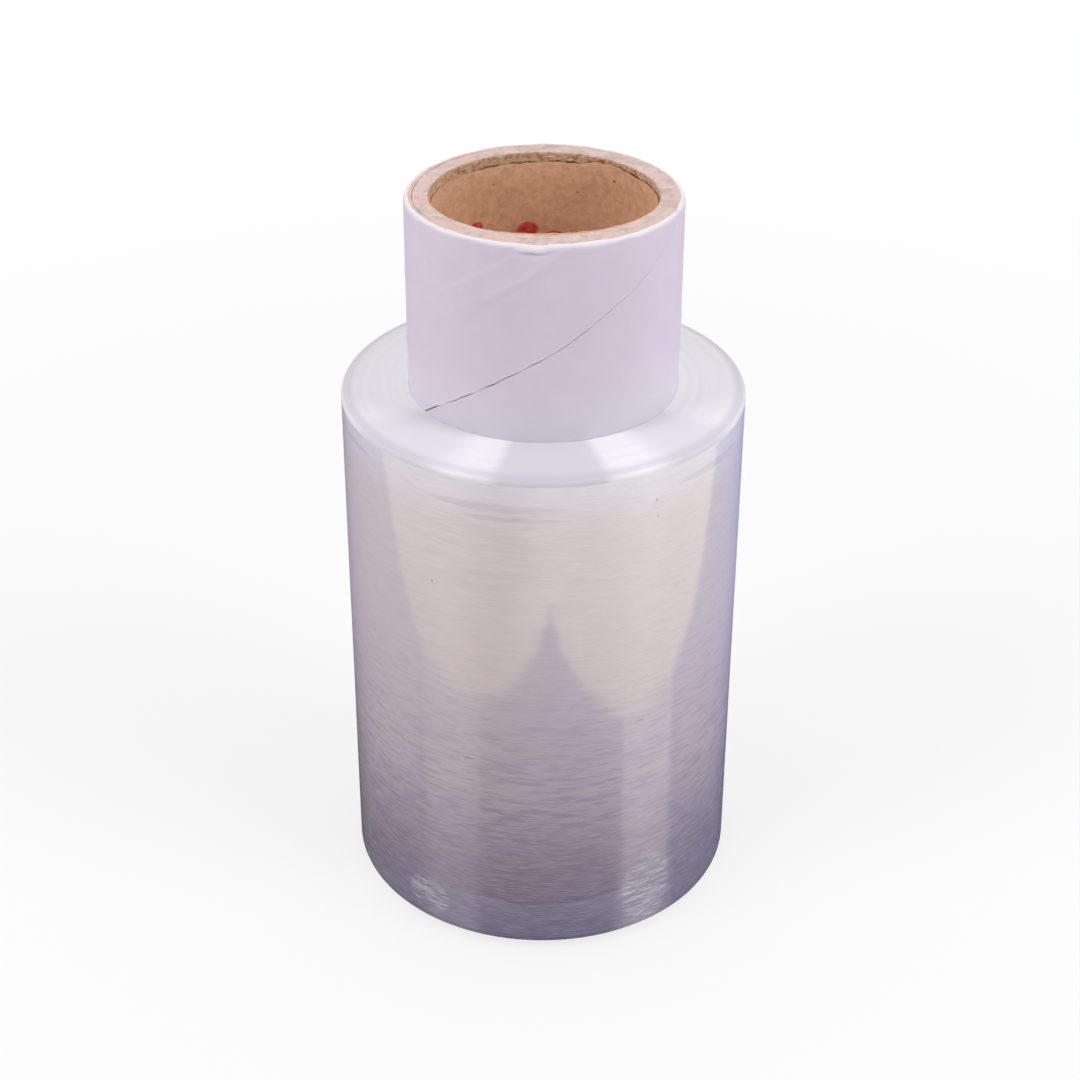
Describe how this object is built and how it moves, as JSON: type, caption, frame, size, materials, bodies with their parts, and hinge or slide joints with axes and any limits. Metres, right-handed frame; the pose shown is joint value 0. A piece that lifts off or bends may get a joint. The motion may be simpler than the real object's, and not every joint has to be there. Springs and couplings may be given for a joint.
{
  "type": "stretch wrap roll",
  "caption": "Hand roll of clear stretch wrap wound on a long board core whose bare end stands out as the handle.",
  "frame": {"origin": "middle of the lower end of the core, on the floor that the roll stands on", "axes": "+Z along the core's axis, towards the bare handle end; -Y faces the viewer"},
  "size_m": [0.0712, 0.0712, 0.135],
  "materials": {
    "brown_board": "matte recycled board",
    "white_paper": "matte white kraft paper",
    "stretch_film": "clear stretch film, wound tight, glossy with fine streaks along the turns"
  },
  "bodies": {
    "root": {"core_tube": "brown_board", "outer_paper": "white_paper", "film_roll": "stretch_film"}
  },
  "joints": []
}
